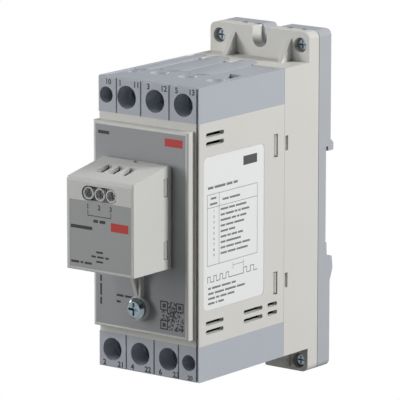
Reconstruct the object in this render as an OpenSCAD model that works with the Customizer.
// Soft starter for three-phase motors: a narrow housing for a 35 mm rail or a
// panel, with a serial interface module screwed to its front. Millimetres.
// x runs across the body from its middle, y goes back from the terminal front
// and z goes up from the lower terminals. The whole is then set with its
// origin in the middle of the rail seat.

/* [Body] */
// Width of the body
body_w = 45; // [45:0.5:60]
// Height of the body between the two fixing flanges
body_h = 106.6; // [104:0.1:130]
// Depth from the terminal front to the fixing flange
body_d = 66.1; // [64:0.1:80]
// Depth of the front shell, from the terminal front to the seam
shell_d = 51; // [49:0.1:53]
// Wall of the moulded housing
wall = 2; // [1.7:0.1:2.2]
// Gap of the seam between front shell and rear base
seam = 0.1; // [0.05:0.05:0.3]
// Radius of the front shell's upright front edges
shell_round = 0.6; // [0.2:0.1:1]
// Width of the shadow groove along the right front edge
edge_groove_w = 0.85; // [0.5:0.05:1]
// Depth of the shadow groove
edge_groove_d = 3; // [1:0.5:4]
// Lip left outside the shadow groove
edge_lip = 0.35; // [0.3:0.05:0.5]

/* [Flange and rail] */
// Flange above the body
flange_over = 10.9; // [10:0.1:14]
// Flange below the body
flange_under = 9; // [8.6:0.1:14]
// Thickness of the flange
flange_t = 5.9; // [5:0.1:8]
// Corner radius of flange and adapter plate
flange_round = 2.5; // [1:0.5:3]
// Corner screws: distance from the sides, from the upper end, from the lower end
corner_screw = [4.15, 4.8, 3.9]; // [3.8:0.05:6]
// Corner screws: head diameter, head height, thread diameter, length
corner_screw_size = [5.2, 1.8, 2.9, 9]; // [1:0.1:9.5]
// Depth of the counterbore over each corner screw
counterbore_d = 3.4; // [2:0.1:4]
// Width of the fixing slot in the flange
slot_w = 6.4; // [5:0.1:7]
// Fixing slots in the adapter plate: width, offset of the upper one to the right
// and of the lower one to the left, clear of the latch
plate_slot = [5.4, 0.8]; // [0.5:0.1:8]
// Centre of the slot's round end, from the flange's end
slot_in = 4.3; // [4:0.1:5]
// Gussets between body and flange: places across the body
gusset_x = [-11.65, 13.6]; // [-15:0.05:15]
// Gussets: thickness, height, run
gusset_size = [1.7, 8.2, 6]; // [1:0.1:9]
// Thickness of the adapter plate
plate_t = 7.7; // [7.5:0.1:9]
// Rail: width, thickness, height of its middle over that of the body
rail = [35, 1, 2.7]; // [0:0.1:35]
// Depth of the rail seat below the plate's back
seat_d = 2.8; // [2.7:0.1:3]
// Overlap of hook and latch on the rail's edges
hook_over = 1.3; // [1:0.1:1.5]
// How far hook and latch stand out behind the plate
hook_out = 1.8; // [1.5:0.1:2]
// Height of the hook
hook_h = 2.8; // [2.4:0.1:4]
// Travel of the rail latch
latch_travel = 3.5; // [2.5:0.1:3.6]
// Latch: width, height, thickness
latch_size = [16, 32, 2.4]; // [2:0.1:34]
// Coil spring of the latch: outer diameter, wire, length, turns
spring_size = [3.6, 0.4, 12.5, 9]; // [0.3:0.1:13]

/* [Terminal rows] */
// Height of a terminal block
block_h = 13; // [13:0.1:14]
// Height of the screw axes above the inner face of the block
axis_h = 6.2; // [6:0.1:6.4]
// First line terminal, across the body
line_x = -9.8; // [-10:0.1:-9.6]
// First load terminal, across the body
load_x = -16.6; // [-16.7:0.1:-16.4]
// Pitch of the power terminals
pole_pitch = 12.7; // [12.4:0.1:12.7]
// Pitch from a control terminal to the next power terminal
control_pitch = 9.25; // [9:0.05:9.3]
// Tool openings: diameter at the power and control terminals
tool_bore = [8.4, 5.9]; // [5.6:0.1:8.6]
// Depth of the screw heads behind the front
head_y = 7.4; // [7:0.1:9]
// Power screw: head diameter, head height, thread diameter
power_screw = [7, 2, 4]; // [2:0.1:7]
// Power cage: width, height, threaded wall, rear wall
power_cage = [8.8, 7.6, 1.8, 1.2]; // [1:0.1:9]
// Travel of a power cage
power_travel = 4.2; // [3.5:0.1:4.4]
// Control screw: head diameter, head height, thread diameter
control_screw = [4.5, 1.8, 3]; // [1.5:0.1:5]
// Control cage: width, height, threaded wall, rear wall
control_cage = [4.6, 5.4, 1.5, 1]; // [1:0.1:6]
// Travel of a control cage
control_travel = 2.5; // [2:0.1:3]
// Thickness of the busbars and of the control contacts
bar_t = [1, 0.6]; // [0.5:0.1:1.2]
// Width of the busbars and of the control contacts
bar_w = [6.4, 2.8]; // [2:0.1:6.6]
// Wire holes: diameter at the power and control terminals
wire_bore = [4.4, 2.6]; // [2:0.1:4.6]
// Wire funnels: diameter at the power and control terminals
funnel_d = [6.8, 4.2]; // [4.6:0.1:9]
// Depth of the wire funnels
funnel_depth = 1.7; // [1:0.1:1.8]
// Outer face between rim and humps lies this much lower
sunk = 0.55; // [0.3:0.05:0.6]
// Humps behind the terminals: width at the power and control terminals
hump_w = [10, 6]; // [5:0.1:10.4]
// How far the humps reach past the seam
hump_over = 6.5; // [5.5:0.1:7]
// Width of the slots between the poles
divider_w = 0.6; // [0.4:0.1:1]
// Opening behind the last line terminal: width, length, distance behind the front
spare_opening = [5.6, 7.4, 25.2]; // [4:0.1:27]

/* [Front cover] */
// Cover and front shell: distance of the cover from the terminal blocks
cover_gap_z = 2.7; // [2:0.1:3]
// Distance of the cover from the right side
cover_gap_x = 2.1; // [1.9:0.1:3]
// How far the cover stands out
cover_d = 3.4; // [3:0.1:4]
// Wall of the cover
cover_wall = 1.6; // [1.2:0.1:1.8]
// Radius of the cover's front edges
cover_round = 0.8; // [0.4:0.1:1]
// Margin of the front label
label_margin = 1.2; // [1:0.1:1.5]
// Thickness of the labels
label_t = 0.2; // [0.1:0.05:0.3]
// Side label: from the front, from the bottom, length, height
side_label_place = [3, 25.6, 35.7, 55.5]; // [2:0.1:56]
// Vents: height, first row, row pitch
vent = [1.6, 17.6, 3.2]; // [1:0.1:20]
// Snap windows: distance of their middle from the body's bottom and top
snap_z = [28.3, 27.5]; // [26:0.1:30]

/* [Interface module] */
// Middle of the module, across the body
module_x = -1.6; // [-2:0.1:0]
// Bottom of the module
module_z = 41.4; // [40:0.1:44]
// Width of the module
module_w = 29.4; // [28:0.1:31]
// Depth of the module
module_d = 22.7; // [22:0.1:26]
// Height of the module at its front and at its back
module_h = [33.3, 37.6]; // [32:0.1:40]
// Wall of the module
module_wall = 1.5; // [1.2:0.1:1.6]
// Thickness of the module's back and of its lug
module_back_t = 1.7; // [1.4:0.1:2]
// Height of the lug's screw
lug_z = 25.1; // [24:0.1:27]
// Lug: width, radius of the eye
lug_size = [3, 4.4]; // [2.8:0.1:4.6]
// Lug screw: head diameter, head height, thread diameter, length
lug_screw_size = [7.8, 2.4, 3, 7]; // [2:0.1:8]
// Pitch of the module's terminals
module_pitch = 5.08; // [5:0.01:5.08]
// Height of the module's screw axes above its bottom
module_axis = 28.3; // [28:0.1:28.6]
// Module screw: head diameter, head height, thread diameter
module_screw = [2.6, 1.4, 2]; // [1:0.1:2.7]
// Module cage: width, height, threaded wall, rear wall
module_cage = [4, 4.4, 1.2, 0.8]; // [0.6:0.1:5]
// Travel of a module cage
module_travel = 1.8; // [1.4:0.1:2]
// Module terminals: outer and inner diameter of the screw collars
collar_d = [4.6, 3.6]; // [3.5:0.1:4.7]
// Module wire slots: width, length, distance from the module's front
wire_slot = [3.4, 7.4, 7.3]; // [3:0.1:8]

/* [Inside] */
// Thickness of the circuit boards
pcb_t = 1.6; // [1:0.1:1.6]
// Interface board: distance behind the terminal front
front_pcb_y = 5; // [4.8:0.1:5.2]
// Heat sink: width, base, fins, fin thickness
sink_size = [37, 4, 9, 1.5]; // [1:0.5:38]
// Heat sink: clear of the body's bottom and top
sink_z = [20, 20.6]; // [18:0.1:24]
// Thyristor package: width, thickness, height
thyristor_size = [15.5, 5, 20]; // [4:0.5:21]
// Thyristor rows above the body's bottom
thyristor_z = [38, 62]; // [36:1:64]
// Relay: width, depth, height
relay_size = [26, 27, 26]; // [20:1:28]
// Relays above the body's bottom
relay_z = [32, 60]; // [30:1:62]
// Current transformer: outer diameter, inner diameter, height
ct_size = [12.2, 7.6, 6]; // [5:0.1:12.4]

/* [Hidden] */
$fn = 48;
// Running fit of a thread in its cage
fit = 0.05;
// Clearance inside the terminals
gap = 0.2;
// Clearance of sliding and snapped pieces
close = 0.15;
// Clearance of seated pieces
seat = 0.3;
// Overrun of the cuts
cut = 1;

half_w = body_w / 2;
inner_x = half_w - wall;
upper_block_z = body_h - block_h;
flange_z = [-flange_under, body_h + flange_over];
end_wall = 3;
plate_y = body_d + flange_t;
plate_back = plate_y + plate_t;
seat_y = plate_back - seat_d;
rail_mid = body_h / 2 + rail[2];
rail_z = [rail_mid - rail[0] / 2, rail_mid + rail[0] / 2];
hook_y = seat_y + rail[1] + seat;
shelf_t = 1.6;
inner_z = [block_h + shelf_t, upper_block_z - shelf_t];

// Terminals by kind: power 0, control 1, module 2
CLAMPS = [
    [power_screw, power_cage, power_travel, bar_t[0]],
    [control_screw, control_cage, control_travel, bar_t[1]],
    [module_screw, module_cage, module_travel, bar_t[1]]
];
cage_side = [1, 0.7, 0.6];
cage_drop = [4.6, 3.2, 2.4];
tongue_top = [8.8, 8];
leg_in = [13.6, 20, 8];
leg_w = 4;
board_post = [2, 4];
board_guide = [0.7, 1.2, 2];
shoulder = 0.8;
pad = 0.1;
web = 1.4;
rim = [1.6, 0.8];
hump_t = 1.5;
hump_side = 0.15;
hump_gap = 1.5;
hump_nose = 2.5;
divider_depth = [0.25, 1.35];
spare_shift = -1;
joint_groove = [0.3, 0.5];
pit_x = [-10.7, -5, 9.6, 15.7];
pit_size = [3, 2.8];
bulge = [0.6, 0.9, 5.8, 10.7, 15.3];
label_sunk = 0.05;
groove_x = half_w - edge_lip - edge_groove_w;

cover_x = [-half_w, half_w - cover_gap_x];
cover_z = [block_h + cover_gap_z, upper_block_z - cover_gap_z];
window_x = [cover_x[0] + 3, cover_x[1] - 3.5];
window_z = [cover_z[0] + 3.5, cover_z[1] - 3.5];
tab_x = [-10, 6];
tab_size = [7, 1.2, 3.2];
tab_hook = 0.6;
boss_r = 3.2;

arm_t = 1.2;
arm_h = 7.4;
arm_lug = 1.6;
arm_reach = [7.4, 6];
snap_window = [6.4, 3.9, 4.25];
snap_slot = [0.6, 2.3, 2.75];
snap_mid = [snap_z[0], body_h - snap_z[1]];

ledge_y = shell_d + 10;
sink_y = ledge_y - sink_size[1];
sink_top = body_h - sink_z[1];
bar_y = shell_d - 2.4;
power_pcb_y = bar_y - pcb_t;
power_pcb_x = inner_x - arm_t - close - seat;
power_pcb_z = [30, inner_z[1] - 2.4];
front_leg_y = front_pcb_y + pcb_t;
control_pcb_x = inner_x - 3.5;
control_pcb_y = [front_leg_y + 1, power_pcb_y - 1];

latch_low = rail_z[0] - seat - latch_size[1];
latch_y = seat_y + close;
latch_wing = [1.5, 1.2];
tail_x = [5, 8];
spring_post = [latch_low + 5.9, latch_low + 7.1];
spring_pocket = 1.2;

module_y = -cover_d - module_d;
module_in = module_d - module_back_t;
module_pcb_in = 15;
module_screw_in = 2.4;
module_foot = module_pcb_in - module_screw_in + head_y;
socket_size = [12, 10, 8.6];
socket_wall = 1.2;
socket_mid = module_z + 13.6;
module_snap = [[3.6, 10.2], [26.2, 32.8]];
module_snap_y = [2.9, 0.5];
module_label_z = [1.3, 25.35];
module_label_x = [-13.25, 14.1];
module_groove = [0.35, 0.85, 0.4];
wire_slot_shift = -0.8;
lug_x = module_x + 0.6;
gusset_w = 1.4;
gusset_foot = 4.2;
gusset_out = 4.4;
strip_side = 1.3;
rib = [0.7, 0.6];

TOP = ["a1", "l1", "l2", "l3"];
BOTTOM = ["t1", "t2", "t3", "a2"];
POLES = concat(TOP, BOTTOM);
MODULE_POLES = [1, 2, 3];

housing_color = "#d5d4cd";
block_color = "#a9afb8";
module_color = "#c9cac5";
label_color = "#8a8c8e";
zinc = "#b9bec4";
brass = "#c9a648";
copper = "#b8754a";
board_color = "#2f6b46";
black = "#2b2c2e";

// Places of the terminals across the body
function kind(p) = p[0] == "a" ? 1 : 0;
function on_top(p) = p == "a1" || p[0] == "l";
function pole_x(p) =
    p == "a1" ? line_x - control_pitch :
    p == "a2" ? load_x + 2 * pole_pitch + control_pitch :
    (p[0] == "l" ? line_x : load_x) + (ord(p[1]) - ord("1")) * pole_pitch;

// Sizes of a clamp of one kind, from front to back along its screw
function screw_size(k) = CLAMPS[k][0];
function cage_size(k) = CLAMPS[k][1];
function travel(k) = CLAMPS[k][2];
function head_back(k) = head_y + screw_size(k)[1];
function cage_front(k) = head_back(k) + gap + travel(k);
function tongue_front(k) = cage_front(k) + cage_size(k)[2] + gap;
function tongue_back(k) = tongue_front(k) + CLAMPS[k][3];
function clamp_wall(k) = tongue_back(k) + travel(k) + pad;
function cage_back(k) = clamp_wall(k) + cage_size(k)[3];
function wire_y(k) = (tongue_back(k) + clamp_wall(k)) / 2;
function chamber_half(k) = cage_size(k)[0] / 2 + seat;

// Range about a middle
function about(mid, half) = [mid - half, mid + half];

// Outline whose corners are [x, y] or, rounded, [x, y, radius]
function unit(v) = v / norm(v);
function flat(p) = [p[0], p[1]];
function turned(v, a) = [v[0] * cos(a) - v[1] * sin(a), v[0] * sin(a) + v[1] * cos(a)];
function round_corner(a, b, c, r, n = 5) =
    let (u = unit(a - b), v = unit(c - b), half = acos(u * v) / 2)
    let (mid = b + unit(u + v) * r / sin(half), from = b + u * r / tan(half) - mid)
    let (turn = (cross(v, u) > 0 ? 1 : -1) * (180 - 2 * half))
    [for (i = [0:n]) mid + turned(from, turn * i / n)];
function outline(list) = [
    for (i = [0:len(list) - 1])
        let (before = list[(i + len(list) - 1) % len(list)], after = list[(i + 1) % len(list)])
        each (len(list[i]) == 3
            ? round_corner(flat(before), flat(list[i]), flat(after), list[i][2])
            : [list[i]])
];

// Box between two values on each axis
module span(x, y, z) {
    translate([x[0], y[0], z[0]])
        cube([x[1] - x[0], y[1] - y[0], z[1] - z[0]]);
}

// Round bar along y, or a cone when it has two radii
module rod(x, y, z, r, r_back) {
    translate([x, y[0], z])
        rotate([-90, 0, 0])
            cylinder(h = y[1] - y[0], r1 = r, r2 = r_back == undef ? r : r_back);
}

// Outline drawn in x and z, from y[0] back to y[1]
module along_y(y) {
    translate([0, y[1], 0])
        rotate([90, 0, 0])
            linear_extrude(y[1] - y[0])
                children();
}

// Outline drawn in y and z, from x[0] to x[1]
module along_x(x) {
    translate([x[0], 0, 0])
        rotate([90, 0, 90])
            linear_extrude(x[1] - x[0])
                children();
}

// Rectangle with round corners
module soft_rect(x, y, r) {
    translate([x[0] + r, y[0]])
        square([x[1] - x[0] - 2 * r, y[1] - y[0]]);
    translate([x[0], y[0] + r])
        square([x[1] - x[0], y[1] - y[0] - 2 * r]);
    for (px = [x[0] + r, x[1] - r], py = [y[0] + r, y[1] - r])
        translate([px, py])
            circle(r);
}

// Strip with round ends, drawn along its second axis
module round_bar(x, y, r) {
    translate([x - r, y[0] + r])
        square([2 * r, y[1] - y[0] - 2 * r]);
    for (py = [y[0] + r, y[1] - r])
        translate([x, py])
            circle(r);
}

// The upper terminal row as drawn, the lower one mirrored
module row(top) {
    translate([0, 0, top ? upper_block_z : block_h])
        mirror([0, 0, top ? 0 : 1])
            children();
}

// Same shape at both ends of the body
module both_ends() {
    children();
    translate([0, 0, body_h])
        mirror([0, 0, 1])
            children();
}

// Same shape on both sides of the body
module both_sides() {
    children();
    mirror([1, 0, 0])
        children();
}

// Pan head in front of y = 0 with a cross recess, and a shaft behind it.
// size is head diameter, head height, thread diameter and length
module screw(size) {
    head = size[0] / 2;
    difference() {
        union() {
            rod(0, [-size[1], -size[1] / 2], 0, head * 0.72, head);
            rod(0, [-size[1] / 2, 0], 0, head);
            rod(0, [0, size[3]], 0, size[2] / 2);
        }
        for (a = [0, 90])
            rotate([0, a, 0])
                span(about(0, head * 0.6), [-size[1] - cut, -size[1] * 0.4], about(0, head * 0.12));
    }
}

// Screw of a clamp, its axis on the y axis
module clamp_screw(k) {
    translate([0, head_back(k), 0])
        screw(concat(screw_size(k), [tongue_front(k) - head_back(k) - gap / 2]));
}

// Open cage of a clamp: a loop round the busbar and the wire that climbs along the screw
module clamp_cage(k) {
    half = cage_size(k)[0] / 2;
    low = -cage_drop[k];
    high = low + cage_size(k)[1];
    threaded = cage_front(k) + cage_size(k)[2];
    difference() {
        span([-half, half], [cage_front(k), cage_back(k)], [low, high]);
        span([cage_side[k] - half, half - cage_side[k]], [threaded, clamp_wall(k)], [low - cut, high + cut]);
        rod(0, [cage_front(k) - cut, threaded + cut], 0, screw_size(k)[2] / 2 + fit);
    }
}

module terminal_screw(p) {
    color(zinc)
        row(on_top(p))
            translate([pole_x(p), 0, axis_h])
                clamp_screw(kind(p));
}

module terminal_cage(p) {
    color(brass)
        row(on_top(p))
            translate([pole_x(p), 0, axis_h])
                clamp_cage(kind(p));
}

// Where the hump behind a terminal begins
function hump_front(k) = wire_y(k) + funnel_d[k] / 2 + hump_gap;

// Plan of the hump behind a terminal, grown where it makes a pocket
module hump_plan(p, grow = 0) {
    k = kind(p);
    round_bar(pole_x(p), [hump_front(k) - grow, shell_d + hump_over + grow], hump_w[k] / 2 + grow);
}

// Crowned hump whose ridge is level with the rim and whose sides stand out a little,
// with a nose that slopes down to the front
module hump(p) {
    half = hump_w[kind(p)] / 2;
    front = hump_front(kind(p));
    end = shell_d + hump_over + cut;
    base = block_h - hump_t - cut;
    fall = sunk - hump_side;
    crown = (half * half + fall * fall) / (2 * fall);
    intersection() {
        translate([0, 0, block_h - hump_t])
            linear_extrude(hump_t)
                hump_plan(p);
        rod(pole_x(p), [0, end], block_h - crown, crown);
        along_x(about(pole_x(p), half + cut))
            polygon([
                [front - cut, base], [front - cut, block_h - fall], [front, block_h - fall],
                [front + 2 * hump_nose, block_h + fall], [end, block_h + fall], [end, base]
            ]);
    }
}

// What one terminal takes out of its block: tool opening, chamber, wire funnel,
// core pocket and the way of the busbar
module terminal_cut(p) {
    k = kind(p);
    half = chamber_half(k);
    face = block_h - sunk;
    ceiling = axis_h - cage_drop[k] + cage_size(k)[1] + seat;
    back = cage_back(k) + seat;
    bar_way = k == 1 ? [front_leg_y - seat, head_back(k) + cut] : [back - cut, back + web + cut];
    translate([pole_x(p), 0, 0]) {
        rod(0, [-cut, head_y - gap], axis_h, tool_bore[k] / 2);
        rod(0, [head_y - gap - pad, head_back(k) + pad], axis_h, screw_size(k)[0] / 2 + seat);
        span([-half, half], [head_back(k), back], [-cut, ceiling]);
        span([-half, half], [back + web, shell_d - web], [-cut, ceiling]);
        span([-bar_w[k] / 2 - seat, bar_w[k] / 2 + seat], bar_way, [-cut, pad + bar_t[k] + seat]);
        translate([0, wire_y(k), 0]) {
            cylinder(h = block_h, d = wire_bore[k]);
            translate([0, 0, face - funnel_depth])
                cylinder(h = funnel_depth, d1 = wire_bore[k], d2 = funnel_d[k]);
            translate([0, 0, face])
                cylinder(h = cut, d = funnel_d[k]);
        }
    }
}

// Terminal block of one row. Its outer face is sunk inside a rim, with a hump behind
// each terminal but the spare one, which has an opening there
module terminal_block(poles, spare) {
    color(block_color)
        difference() {
            union() {
                along_x([-half_w, half_w])
                    polygon(outline([
                        [0, 0], [0, block_h, 0.6], [rim[0], block_h], [rim[0] + sunk, block_h - sunk],
                        [shell_d, block_h - sunk], [shell_d, 0]
                    ]));
                for (x = [-half_w, half_w - rim[1]])
                    span([x, x + rim[1]], [rim[0] / 2, shell_d], [block_h / 2, block_h]);
                for (p = poles)
                    if (p != spare)
                        hump(p);
            }
            for (p = poles)
                terminal_cut(p);
            for (i = [1:len(poles) - 1])
                translate([(pole_x(poles[i - 1]) + pole_x(poles[i])) / 2, 0, 0])
                    along_x([-divider_w / 2, divider_w / 2])
                        polygon([
                            [-cut, -cut], [divider_depth[0], -cut],
                            [divider_depth[1], block_h + cut], [-cut, block_h + cut]
                        ]);
            span([groove_x, groove_x + edge_groove_w], [-cut, edge_groove_d], [-cut, block_h + cut]);
            for (p = poles)
                if (p == spare)
                    translate([pole_x(p) + spare_shift, spare_opening[2], 0])
                        span(about(0, spare_opening[0] / 2), [0, spare_opening[1]],
                            [block_h / 2, block_h + cut]);
        }
}

module top_block() {
    row(true)
        terminal_block(TOP, "l3");
}

module bottom_block() {
    row(false)
        terminal_block(BOTTOM, "");
}

// Rows of vents through both side walls
module vents() {
    for (y = [[4.2, 14.7], [26.7, 38.1], [41.1, 47]], i = [0, 1])
        along_x([-half_w - cut, half_w + cut])
            rotate(-90)
                round_bar(-vent[1] - i * vent[2], y, vent[0] / 2);
    for (i = [0, 1])
        along_x([-half_w - cut, half_w + cut])
            rotate(-90)
                round_bar(i * vent[2] + vent[1] - body_h, [4.2, 14.7], vent[0] / 2);
}

// Slots in the shelves for the legs of the busbars and contacts
module leg_slots(poles) {
    for (p = poles) {
        k = kind(p);
        y = k == 1 ? front_leg_y : bar_y;
        half = bar_w[k] / 2 + gap;
        translate([pole_x(p), 0, 0])
            span([-half, half], [y - gap, y + bar_t[k] + gap], [-shelf_t - cut, cut]);
    }
}

module front_shell() {
    color(housing_color) {
        difference() {
            translate([0, 0, block_h])
                linear_extrude(upper_block_z - block_h)
                    polygon(outline([
                        [-half_w, 0, shell_round], [half_w, 0, shell_round],
                        [half_w, shell_d], [-half_w, shell_d]
                    ]));
            span([-inner_x, inner_x], [wall, shell_d + cut], inner_z);
            span(window_x, [-cut, wall + cut], window_z);
            span([groove_x, groove_x + edge_groove_w], [-cut, edge_groove_d], [0, body_h]);
            vents();
            row(true)
                leg_slots(TOP);
            row(false)
                leg_slots(BOTTOM);
            both_sides()
                for (z = snap_mid)
                    span([inner_x - cut, half_w + cut], [shell_d - snap_window[0], shell_d - snap_window[1]],
                        about(z, snap_window[2]));
            along_x([half_w - label_t, half_w + cut])
                side_label_outline(0.1);
        }
        // Posts that the interface board rests on
        both_sides()
            for (z = [inner_z[0], inner_z[1] - board_post[1]])
                span([inner_x - board_post[0], inner_x], [wall, front_pcb_y], [z, z + board_post[1]]);
        // Guides of the control board
        for (x = [control_pcb_x - gap - board_guide[0], control_pcb_x + pcb_t + gap],
             z = [inner_z[0], inner_z[1] - board_guide[1]])
            span([x, x + board_guide[0]], control_pcb_y + [board_guide[2], -board_guide[2]],
                [z, z + board_guide[1]]);
    }
}

// Snap arm of the rear base on the right side, with its lug in the shell's window
module snap_arm(z) {
    outer = inner_x - close;
    inside = outer - arm_t;
    tip = shell_d - arm_reach[0];
    root = shell_d + arm_reach[1];
    lug = [shell_d - snap_window[0] + gap, shell_d - snap_window[1] - gap];
    bend = shell_d + snap_slot[1] + 2 * gap;
    translate([0, 0, z - arm_h / 2])
        linear_extrude(arm_h)
            polygon([
                [inside, tip], [outer, tip], [outer, lug[0]], [outer + arm_lug, lug[0] + arm_lug],
                [outer + arm_lug, lug[1]], [outer, lug[1]], [outer, bend], [inner_x + seat, bend],
                [inner_x + seat, root], [inside, root]
            ]);
}

// Slot of the flange for a fixing screw, open at the end of the body
module fixing_slot(half, y, mouth, offset) {
    for (top = [true, false])
        translate([top ? offset : -offset, 0, top ? flange_z[1] : flange_z[0]])
            mirror([0, 0, top ? 0 : 1])
                along_y(y) {
                    translate([0, -slot_in])
                        circle(half);
                    polygon(outline([
                        [-half, -slot_in], [-half, 0, mouth],
                        [-half - mouth - cut, 0], [-half - mouth - cut, cut],
                        [half + mouth + cut, cut], [half + mouth + cut, 0],
                        [half, 0, mouth], [half, -slot_in]
                    ]));
                }
}

// Places of the four corner screws
module at_corner_screws() {
    for (x = [corner_screw[0] - half_w, half_w - corner_screw[0]],
         z = [flange_z[0] + corner_screw[2], flange_z[1] - corner_screw[1]])
        translate([x, body_d + counterbore_d, z])
            children();
}

module gusset(x) {
    along_x(about(x, gusset_size[0] / 2))
        polygon([
            [body_d - gusset_size[2], body_h - cut], [body_d - gusset_size[2], body_h],
            [body_d, body_h + gusset_size[1]], [body_d + cut, body_h + gusset_size[1]],
            [body_d + cut, body_h - cut]
        ]);
}

module rear_base() {
    color(housing_color) {
        difference() {
            union() {
                span([-half_w, half_w], [shell_d + seam, plate_y], [0, body_h]);
                along_y([body_d, plate_y])
                    soft_rect([-half_w, half_w], flange_z, flange_round);
                both_ends()
                    for (x = gusset_x)
                        gusset(x);
            }
            span([-inner_x, inner_x], [shell_d - cut, ledge_y], [end_wall, body_h - end_wall]);
            span([-sink_size[0] / 2 + 1.2, sink_size[0] / 2 - 1.2], [ledge_y - cut, plate_y + cut],
                [sink_z[0] + 1.2, sink_top - 1.2]);
            // Core pockets under the adapter plate
            for (z = [[end_wall + 0.5, sink_z[0] - 2.5], [sink_top + 2.5, body_h - end_wall - 0.5]])
                span([-15, 15], [ledge_y + 2.2, plate_y + cut], z);
            for (p = POLES)
                if (p != "l3")
                    row(on_top(p))
                        translate([0, 0, block_h - hump_t - close])
                            linear_extrude(hump_t + cut)
                                hump_plan(p, close);
            both_sides()
                for (z = snap_mid)
                    span([inner_x - cut, half_w + cut], [shell_d + snap_slot[0], shell_d + snap_slot[1]],
                        about(z, snap_slot[2]));
            at_corner_screws() {
                rod(0, [-counterbore_d - cut, 0], 0, corner_screw_size[0] / 2 + close);
                rod(0, [-cut, flange_t], 0, corner_screw_size[2] / 2 + close);
            }
            fixing_slot(slot_w / 2, [body_d - cut, plate_y + cut], 0.6, 0);
            joint_pits();
        }
        both_sides()
            for (z = snap_mid)
                snap_arm(z);
    }
}

module corner_screws() {
    color(zinc)
        at_corner_screws()
            screw(corner_screw_size);
}

// Way of the port's socket through the cover
module port_opening() {
    span(about(module_x, socket_size[0] / 2 + seat), [-cover_d - cut, 0],
        about(socket_mid, socket_size[1] / 2 + seat));
}

module front_cover() {
    reach = front_pcb_y - seat;
    color(housing_color) {
        difference() {
            intersection() {
                along_x(cover_x)
                    polygon(outline([
                        [-cover_d, cover_z[0], cover_round], [-cover_d, cover_z[1], cover_round],
                        [0, cover_z[1]], [0, cover_z[0]]
                    ]));
                linear_extrude(body_h)
                    polygon(outline([
                        [cover_x[0], -cover_d, cover_round], [cover_x[1], -cover_d, cover_round],
                        [cover_x[1], 0], [cover_x[0], 0]
                    ]));
            }
            span([cover_x[0] + cover_wall, cover_x[1] - cover_wall], [cover_wall - cover_d, cut],
                [cover_z[0] + cover_wall, cover_z[1] - cover_wall]);
            span([cover_x[0] + label_margin, cover_x[1] - label_margin], [-cover_d - cut, label_t - cover_d],
                [cover_z[0] + label_margin, cover_z[1] - label_margin]);
            port_opening();
            rod(lug_x, [-cover_d - cut, 0], lug_z, lug_screw_size[2] / 2 + fit);
        }
        // Boss of the lug screw
        difference() {
            rod(lug_x, [cover_wall - cover_d, reach], lug_z, boss_r);
            rod(lug_x, [-cover_d, reach - 0.7], lug_z, lug_screw_size[2] / 2 + fit);
        }
        // Snap tabs in the shell's window
        for (x = tab_x, top = [false, true])
            translate([x, 0, top ? window_z[1] - gap : window_z[0] + gap])
                mirror([0, 0, top ? 1 : 0])
                    along_x(about(0, tab_size[0] / 2))
                        polygon([
                            [cover_wall - cover_d, 0], [wall + pad, 0], [wall + pad, -tab_hook],
                            [tab_size[2] - 0.4, -tab_hook], [tab_size[2] + 0.4, 0],
                            [tab_size[2] + 0.4, tab_size[1]], [cover_wall - cover_d, tab_size[1]]
                        ]);
    }
}

module front_label() {
    color(label_color)
        difference() {
            span([cover_x[0] + label_margin, cover_x[1] - label_margin], [-cover_d, label_t - cover_d],
                [cover_z[0] + label_margin, cover_z[1] - label_margin]);
            port_opening();
            rod(lug_x, [-cover_d - cut, 0], lug_z, lug_screw_size[2] / 2 + gap);
        }
}

module side_label_outline(grow = 0) {
    y = side_label_place[0];
    z = side_label_place[1];
    soft_rect([y - grow, y + side_label_place[2] + grow], [z - grow, z + side_label_place[3] + grow], 2);
}

module side_label() {
    color("#eeeeec")
        along_x([half_w - label_t, half_w - label_sunk])
            side_label_outline();
}

// Round pits in the top, half in the flange and half in the adapter plate
module joint_pits() {
    for (x = pit_x)
        translate([x, plate_y, flange_z[1] - pit_size[1]])
            cylinder(h = pit_size[1] + cut, d = pit_size[0]);
}

// Section of the adapter plate across the rail: hook above, bulge below
module plate_section() {
    out = plate_back + hook_out;
    hook_z = rail_z[1] - hook_over;
    polygon(outline([
        [plate_y, flange_z[0]], [plate_y, flange_z[1]], [plate_back, flange_z[1], 0.6],
        [plate_back, hook_z + hook_h + 1.5], [out, hook_z + hook_h, 0.6], [out, hook_z, 0.5],
        [hook_y, hook_z], [hook_y, rail_z[1] + 0.4], [seat_y, rail_z[1] + 0.4],
        [seat_y, rail_z[0] - 0.4], [seat_y + bulge[0], rail_z[0] - 0.4],
        [seat_y + bulge[1], rail_z[0] - bulge[2]], [out - 0.6, rail_z[0] - bulge[2] - 0.2, 0.4],
        [out, rail_z[0] - bulge[3], 3], [plate_back, rail_z[0] - bulge[4], 1], [plate_back, flange_z[0], 0.6]
    ]));
}

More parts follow.
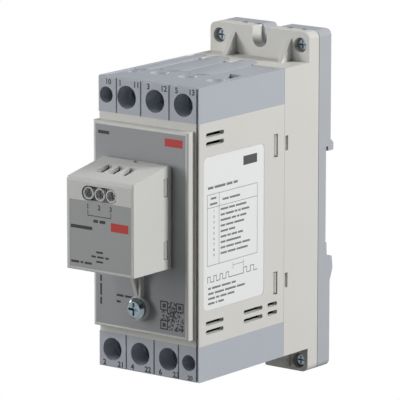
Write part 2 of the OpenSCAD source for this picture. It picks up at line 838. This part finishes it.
module adapter_plate() {
    channel = latch_size[0] / 2 + close;
    channel_z = [latch_low - latch_travel - seat, rail_z[0]];
    spring_half = spring_size[0] / 2 + seat;
    color("#aeb4bd")
        difference() {
            intersection() {
                along_x([-half_w, half_w])
                    plate_section();
                along_y([plate_y, plate_back + hook_out + cut])
                    soft_rect([-half_w, half_w], flange_z, flange_round);
            }
            // Channel of the latch, undercut for its wings, and of its tail
            span([-channel, channel], [seat_y, plate_back + hook_out + cut], channel_z);
            span(about(0, channel + latch_wing[0]), [seat_y, latch_y + latch_wing[1] + close], channel_z);
            span(tail_x + [-close, close], [seat_y, plate_back + cut], [flange_z[0] - cut, latch_low]);
            span([-spring_half, spring_half], [seat_y - spring_pocket, seat_y + cut],
                [spring_post[1], spring_post[1] + spring_size[2] + seat]);
            // Core pockets under the flange
            for (z = [[4, rail_z[0] - 4], [rail_z[0] + 3.5, rail_z[1] - 3.5], [rail_z[1] + 4.5, body_h - 1]])
                both_sides()
                    span([1, half_w - 4], [plate_y - cut, seat_y - 1.9], z);
            fixing_slot(plate_slot[0] / 2, [plate_y - cut, plate_back + cut], 2, plate_slot[1]);
            at_corner_screws()
                rod(0, [0, corner_screw_size[3] + gap], 0, corner_screw_size[2] / 2 + fit);
            joint_pits();
            // Groove along the joint with the flange
            difference() {
                span(about(0, half_w + cut), [plate_y - cut, plate_y + joint_groove[0]],
                    flange_z + [-cut, cut]);
                along_y([plate_y - 2 * cut, plate_y + cut])
                    soft_rect(about(0, half_w - joint_groove[1]),
                        flange_z + [joint_groove[1], -joint_groove[1]], flange_round - joint_groove[1]);
            }
        }
    // Post under the spring
    color("#aeb4bd")
        span(about(0, spring_size[0] / 2), [seat_y - pad, latch_y + latch_size[2] - seat], spring_post);
}

// Sliding latch: a plate with wings, a lip behind the rail, a window for the spring
// and a tail with a tool slot at the lower end of the adapter plate
module rail_latch() {
    half = latch_size[0] / 2;
    top = latch_low + latch_size[1];
    back = latch_y + latch_size[2];
    lip = plate_back + hook_out - 0.2;
    color("#8f959e")
        difference() {
            union() {
                along_x([-half, half])
                    polygon([
                        [latch_y, latch_low], [back, latch_low], [back, top - 5.5], [lip, top - 3.4],
                        [lip, top - 0.8], [hook_y + 0.8, top + hook_over + seat],
                        [hook_y, top + hook_over + seat], [hook_y, top], [latch_y, top]
                    ]);
                span(about(0, half + latch_wing[0]), [latch_y, latch_y + latch_wing[1]], [latch_low, top]);
                span(tail_x, [latch_y, back], [flange_z[0] + 0.4, latch_low + cut]);
            }
            span(about(0, spring_size[0] / 2 + seat), [latch_y - cut, back + cut],
                [spring_post[0] - pad, spring_post[1] + spring_size[2] + pad]);
            span([tail_x[0] + 0.6, tail_x[1] - 0.6], [latch_y - cut, back + cut],
                [flange_z[0] + 1.6, flange_z[0] + 3.8]);
        }
}

// Closed ring of spring points at one place along the helix
function helix_ring(a, mean, pitch, wire, sides) = [
    for (i = [0:sides - 1])
        let (b = 360 * i / sides, r = mean + wire / 2 * cos(b))
        [r * cos(a), r * sin(a), pitch * a / 360 + wire / 2 * sin(b)]
];

module latch_spring() {
    sides = 6;
    steps = 12;
    wire = spring_size[1];
    mean = (spring_size[0] - wire) / 2;
    pitch = (spring_size[2] - wire - 2 * fit) / spring_size[3];
    rings = [for (i = [0:steps * spring_size[3]]) helix_ring(360 * i / steps, mean, pitch, wire, sides)];
    last = len(rings) - 1;
    color(zinc)
        translate([0, seat_y + spring_size[0] / 2 - spring_pocket + gap, spring_post[1] + wire / 2 + fit])
            polyhedron(
                points = [for (ring = rings) each ring],
                faces = concat(
                    [[for (i = [0:sides - 1]) i]],
                    [for (k = [0:last - 1], i = [0:sides - 1])
                        let (j = (i + 1) % sides, a = k * sides, b = a + sides)
                        [a + j, a + i, b + i, b + j]],
                    [[for (i = [sides - 1:-1:0]) last * sides + i]]
                )
            );
}

// Bent strip from the tongue in the cage down to the board behind, with a narrow leg
module busbar(p, leg) {
    y = tongue_front(0);
    t = bar_t[0];
    row(on_top(p))
        translate([pole_x(p), 0, 0])
            along_x(about(0, bar_w[0] / 2))
                polygon(outline([
                    [y, pad, 1.2], [bar_y, pad, 0.3], [bar_y, -shoulder], [bar_y + t, -shoulder],
                    [bar_y + t, pad + t, 1.2], [y + t, pad + t, 0.3],
                    [y + t, tongue_top[0]], [y, tongue_top[0]]
                ]));
    row(on_top(p))
        span(about(pole_x(p), leg_w / 2), [bar_y, bar_y + t], [-leg, -shoulder]);
}

module line_busbars() {
    color(copper)
        for (p = ["l1", "l2", "l3"])
            busbar(p, leg_in[0]);
}

module load_busbars() {
    color(copper)
        for (p = ["t1", "t2", "t3"])
            busbar(p, leg_in[1]);
}

// Strips from the control terminals forward and down behind the interface board
module control_contacts() {
    y = tongue_back(1);
    t = bar_t[1];
    color(copper)
        for (p = ["a1", "a2"])
            row(on_top(p))
                translate([pole_x(p), 0, 0])
                    along_x(about(0, bar_w[1] / 2))
                        polygon(outline([
                            [y, pad, 0.8], [y, tongue_top[1]], [y - t, tongue_top[1]], [y - t, pad + t, 0.2],
                            [front_leg_y, pad + t, 0.8], [front_leg_y, -leg_in[2]],
                            [front_leg_y + t, -leg_in[2]], [front_leg_y + t, pad, 0.2]
                        ]));
}

module current_transformers() {
    color(black)
        for (p = ["t2", "t3"])
            translate([pole_x(p), bar_y + bar_t[0] / 2, inner_z[0] + seat])
                difference() {
                    cylinder(h = ct_size[2], d = ct_size[0]);
                    translate([0, 0, -cut])
                        cylinder(h = ct_size[2] + 2 * cut, d = ct_size[1]);
                }
}

// Places of the four thyristors
module at_thyristors() {
    for (x = [-8.2, 8.2], z = thyristor_z)
        translate([x, sink_y, z])
            children();
}

module heat_sink() {
    half = sink_size[0] / 2;
    fin_x = half - 2;
    fins = 8;
    color("#9aa0a6")
        difference() {
            union() {
                span([-half, half], [sink_y, ledge_y], [sink_z[0], sink_top]);
                translate([0, 0, sink_z[0] + 2])
                    linear_extrude(sink_top - sink_z[0] - 4)
                        for (i = [0:fins - 1])
                            translate([-fin_x + i * (2 * fin_x - sink_size[3]) / (fins - 1), ledge_y - cut])
                                square([sink_size[3], plate_y - 0.5 - ledge_y + cut]);
            }
            at_thyristors()
                rod(0, [-cut, 3.2], thyristor_size[2] * 0.75, 1.5 + fit);
        }
}

module thyristors() {
    lead = [1.2, 0.6];
    mid = -thyristor_size[1] / 2;
    color(black)
        at_thyristors() {
            difference() {
                span(about(0, thyristor_size[0] / 2), [-thyristor_size[1], 0], [0, thyristor_size[2]]);
                rod(0, [-thyristor_size[1] - cut, cut], thyristor_size[2] * 0.75, 1.8);
            }
            for (i = [-1, 0, 1])
                translate([i * 5.45 - lead[0] / 2, 0, 0])
                    along_x([0, lead[0]])
                        polygon([
                            [mid, 0.5], [mid, -3.4], [bar_y - sink_y, -3.4], [bar_y - sink_y, -3.4 + lead[1]],
                            [mid - lead[1], -3.4 + lead[1]], [mid - lead[1], 0.5]
                        ]);
        }
}

module thyristor_screws() {
    color(zinc)
        at_thyristors()
            translate([0, -thyristor_size[1], thyristor_size[2] * 0.75])
                screw([6, 2, 3, 8]);
}

module power_board() {
    color(board_color)
        span([-power_pcb_x, power_pcb_x], [power_pcb_y, bar_y], power_pcb_z);
}

module bypass_relays() {
    x = [-inner_x + 2.5, -inner_x + 2.5 + relay_size[0]];
    color("#d8d9da")
        for (z = relay_z) {
            along_y([power_pcb_y - relay_size[1], power_pcb_y - 3])
                soft_rect(x, [z, z + relay_size[2]], 1);
            along_y([power_pcb_y - 3, power_pcb_y])
                soft_rect(x + [0.4, -0.4], [z + 0.4, z + relay_size[2] - 0.4], 1);
        }
}

module control_board() {
    color(board_color)
        span([control_pcb_x, control_pcb_x + pcb_t], control_pcb_y, [inner_z[0] + seat, inner_z[1] - seat]);
}

// Board transformer: core, with its winding before and behind
module transformer() {
    x = [control_pcb_x - 15, control_pcb_x];
    y = [control_pcb_y[0] + 1.4, control_pcb_y[0] + 11.4];
    z = [62, 80];
    color("#8b6f3c")
        difference() {
            span(x, y, z);
            for (side = [z[0] + 4, z[1] - 7])
                span([x[0] + 3, x[1] + cut], y + [-cut, cut], [side, side + 3]);
        }
    color("#c77d3a")
        span([x[0] + 3.4, x[1] - 0.4], y + [-0.8, 0.8], [z[0] + 4.2, z[1] - 4.2]);
}

module capacitors() {
    color("#3a4a78")
        for (z = [24, 35, 46])
            translate([control_pcb_x - 12.5, control_pcb_y[0] + 6, z])
                rotate([0, 90, 0])
                    cylinder(h = 12.5, d = 9);
}

module processor() {
    color(black)
        span([control_pcb_x - 1.4, control_pcb_x], [control_pcb_y[0] + 17, control_pcb_y[0] + 27], [30, 40]);
}

module board_header() {
    color(black)
        span([control_pcb_x - 2.6, control_pcb_x], [front_leg_y, front_leg_y + 5], [52, 60]);
}

module interface_board() {
    color(board_color)
        span(about(0, inner_x - seat), [front_pcb_y, front_leg_y], inner_z + [seat, -seat]);
}

// Socket of the serial port: open to the front, with two rows of contacts
module port_socket() {
    half = [socket_size[0] / 2, socket_size[1] / 2];
    front = front_pcb_y - socket_size[2] + 1;
    color(black)
        difference() {
            span(about(module_x, half[0]), [front, front_pcb_y], about(socket_mid, half[1]));
            span(about(module_x, half[0] - socket_wall), [front - cut, front_pcb_y - 2],
                about(socket_mid, half[1] - socket_wall));
        }
}

// Outer form of the interface module, in its own place: front face at y = 0
module module_form() {
    half = module_w / 2;
    intersection() {
        along_x([-half, half])
            polygon(outline([
                [0, 0, 0.8], [module_d, 0, 0.4], [module_d, module_h[1], 1.8], [0, module_h[0], 1.6]
            ]));
        translate([0, 0, -cut])
            linear_extrude(module_h[1] + 2 * cut)
                polygon(outline([
                    [-half, 0, 0.3], [half, 0, 0.3], [half, module_d, 0.4], [-half, module_d, 0.4]
                ]));
    }
}

// Height of the module's top at a distance from its front
function module_top(y) = module_h[0] + (module_h[1] - module_h[0]) * y / module_d;

module at_module() {
    translate([module_x, module_y, module_z])
        children();
}

module module_housing() {
    half = module_w / 2;
    color(module_color)
        at_module()
            difference() {
                module_form();
                // Inside, open to the back
                along_x([module_wall - half, half - module_wall])
                    polygon([
                        [module_wall, module_wall], [module_d + cut, module_wall],
                        [module_d + cut, module_top(module_d + cut) - module_wall],
                        [module_wall, module_top(module_wall) - module_wall]
                    ]);
                span([-half - cut, half + cut], [module_in, module_d + cut], [-cut, module_h[1] + cut]);
                // Opening of the screw collars
                along_y([-cut, module_wall + cut])
                    rotate(90)
                        round_bar(module_axis, about(0, module_pitch + 2.75), 2.75);
                for (i = [-1, 0, 1])
                    span(about(i * module_pitch + wire_slot_shift, wire_slot[0] / 2),
                        [wire_slot[2], wire_slot[2] + wire_slot[1]],
                        [module_h[0] - 2 * module_wall, module_h[1] + cut]);
                span(module_label_x + [-pad, pad], [-cut, label_t], module_label_z + [-pad, pad]);
                // Groove along each front corner
                both_sides()
                    span([half - module_groove[2], half + cut], [module_groove[0], module_groove[1]],
                        [-cut, module_h[1] + cut]);
                both_sides()
                    for (z = module_snap)
                        span([half - module_wall - cut, half + cut],
                            [module_in - module_snap_y[0], module_in - module_snap_y[1]], z);
                span([-0.2, 3.9], [module_in - 1.6, module_in + cut], [module_h[0], module_h[1] + cut]);
            }
}

// Back of the module: cover plate with snap arms, and the lug with its gusset
module module_back() {
    half = module_w / 2;
    eye_x = lug_x - module_x;
    eye_z = lug_z - module_z;
    strip = eye_x - strip_side;
    arm = half - module_wall - pad;
    inside = arm - arm_t;
    tip = module_in - module_snap_y[0] - arm_t;
    lug = [module_in - module_snap_y[0] + pad, module_in - module_snap_y[1] - gap];
    color(module_color)
        at_module() {
            difference() {
                union() {
                    intersection() {
                        module_form();
                        span([-half, half], [module_in + pad, module_d], [0, module_h[1] + cut]);
                    }
                    span([strip, strip + lug_size[0]], [module_in + pad, module_d], [eye_z, cut]);
                    rod(eye_x, [module_in, module_d], eye_z, lug_size[1]);
                    along_x([strip, strip + gusset_w])
                        polygon([
                            [module_in + cut, eye_z + gusset_foot - 0.5], [module_in, eye_z + gusset_foot],
                            [module_in - gusset_out, -pad], [module_in + cut, -pad]
                        ]);
                    span([strip + lug_size[0] - rib[0], strip + lug_size[0]],
                        [module_in - rib[1], module_in + cut], [eye_z + gusset_foot, -pad]);
                }
                rod(eye_x, [module_in - cut, module_d + cut], eye_z, lug_screw_size[2] / 2 + gap);
                span(about(0, socket_size[0] / 2 + seat), [module_in - cut, module_d + cut],
                    about(socket_mid - module_z, socket_size[1] / 2 + seat));
            }
            // Snap arms, whose lugs fill the windows of the housing
            both_sides()
                for (z = module_snap)
                    translate([0, 0, z[0] + gap])
                        linear_extrude(z[1] - z[0] - 2 * gap)
                            polygon([
                                [inside, tip], [arm, tip], [arm, lug[0]], [half - gap, lug[0] + 0.5],
                                [half - gap, lug[1]], [arm, lug[1]],
                                [arm, module_in + cut], [inside, module_in + cut]
                            ]);
        }
}

module module_label() {
    color(label_color)
        at_module()
            span(module_label_x, [label_sunk, label_t], module_label_z);
}

module lug_screw() {
    color(zinc)
        at_module()
            translate([lug_x - module_x, module_in, lug_z - module_z])
                screw(lug_screw_size);
}

module module_board() {
    half = module_w / 2 - module_wall - 1.7;
    color(board_color)
        at_module()
            span([-half, half], [module_pcb_in, module_pcb_in + pcb_t], [module_wall + seat, 33]);
}

// Places of the module's three clamps, at their front plane
module at_module_clamp(i) {
    at_module()
        translate([(i - 2) * module_pitch, module_screw_in - head_y, module_axis])
            children();
}

// Terminal strip of the module: three collars in front, chambers behind, wires from above
module module_terminals() {
    half = module_pitch + 2.5;
    base = module_screw_in - gap;
    color("#b9bab6")
        difference() {
            at_module() {
                span([-half, half], [base, module_pcb_in], [module_axis - 6, module_axis + 3]);
                for (i = [-1, 0, 1])
                    rod(i * module_pitch, [0.35, base + cut], module_axis, collar_d[0] / 2);
            }
            for (i = MODULE_POLES)
                at_module_clamp(i) {
                    rod(0, [0, head_y - gap], 0, collar_d[1] / 2);
                    rod(0, [head_y - gap - pad, head_back(2) + pad], 0, module_screw[0] / 2 + close);
                    span(about(0, chamber_half(2)), [head_back(2), cage_back(2) + gap], [-3.4, 2.3]);
                    span([-1.2, 1.2], [cage_back(2), module_foot + cut], [-3.4, -2.5]);
                    span([-1.3, 1.3], [tongue_back(2), clamp_wall(2)], [0, 4]);
                }
        }
}

module module_clamp_screw(i) {
    color(zinc)
        at_module_clamp(i)
            clamp_screw(2);
}

module module_clamp_cage(i) {
    color(brass)
        at_module_clamp(i)
            clamp_cage(2);
}

module module_contacts() {
    y = tongue_front(2);
    t = bar_t[1];
    color(copper)
        for (i = MODULE_POLES)
            at_module_clamp(i)
                along_x([-0.9, 0.9])
                    polygon([
                        [y, -3.3], [module_foot, -3.3], [module_foot, -3.3 + t], [y + t, -3.3 + t],
                        [y + t, 1.6], [y, 1.6]
                    ]);
}

// Plug of the module, from its board into the socket behind the cover
module module_plug() {
    half = [socket_size[0] / 2 - socket_wall - gap, socket_size[1] / 2 - socket_wall - gap];
    color(black)
        translate([module_x, 0, socket_mid])
            span(about(0, half[0]), [module_y + module_pcb_in + pcb_t, front_pcb_y - 4.5], about(0, half[1]));
}

// Everything is set with the middle of the rail seat at the origin
module placed() {
    translate([0, -seat_y, -rail_mid])
        children();
}

placed() front_shell();
placed() rear_base();
placed() top_block();
placed() bottom_block();
placed() front_cover();
placed() front_label();
placed() side_label();
placed() adapter_plate();
placed() rail_latch();
placed() latch_spring();
placed() corner_screws();
placed() line_busbars();
placed() load_busbars();
placed() control_contacts();
placed() current_transformers();
placed() heat_sink();
placed() thyristors();
placed() thyristor_screws();
placed() power_board();
placed() bypass_relays();
placed() control_board();
placed() transformer();
placed() capacitors();
placed() processor();
placed() board_header();
placed() interface_board();
placed() port_socket();
placed() module_housing();
placed() module_back();
placed() module_label();
placed() lug_screw();
placed() module_board();
placed() module_terminals();
placed() module_contacts();
placed() module_plug();
for (p = POLES)
    placed() terminal_screw(p);
for (p = POLES)
    placed() terminal_cage(p);
for (i = MODULE_POLES)
    placed() module_clamp_screw(i);
for (i = MODULE_POLES)
    placed() module_clamp_cage(i);
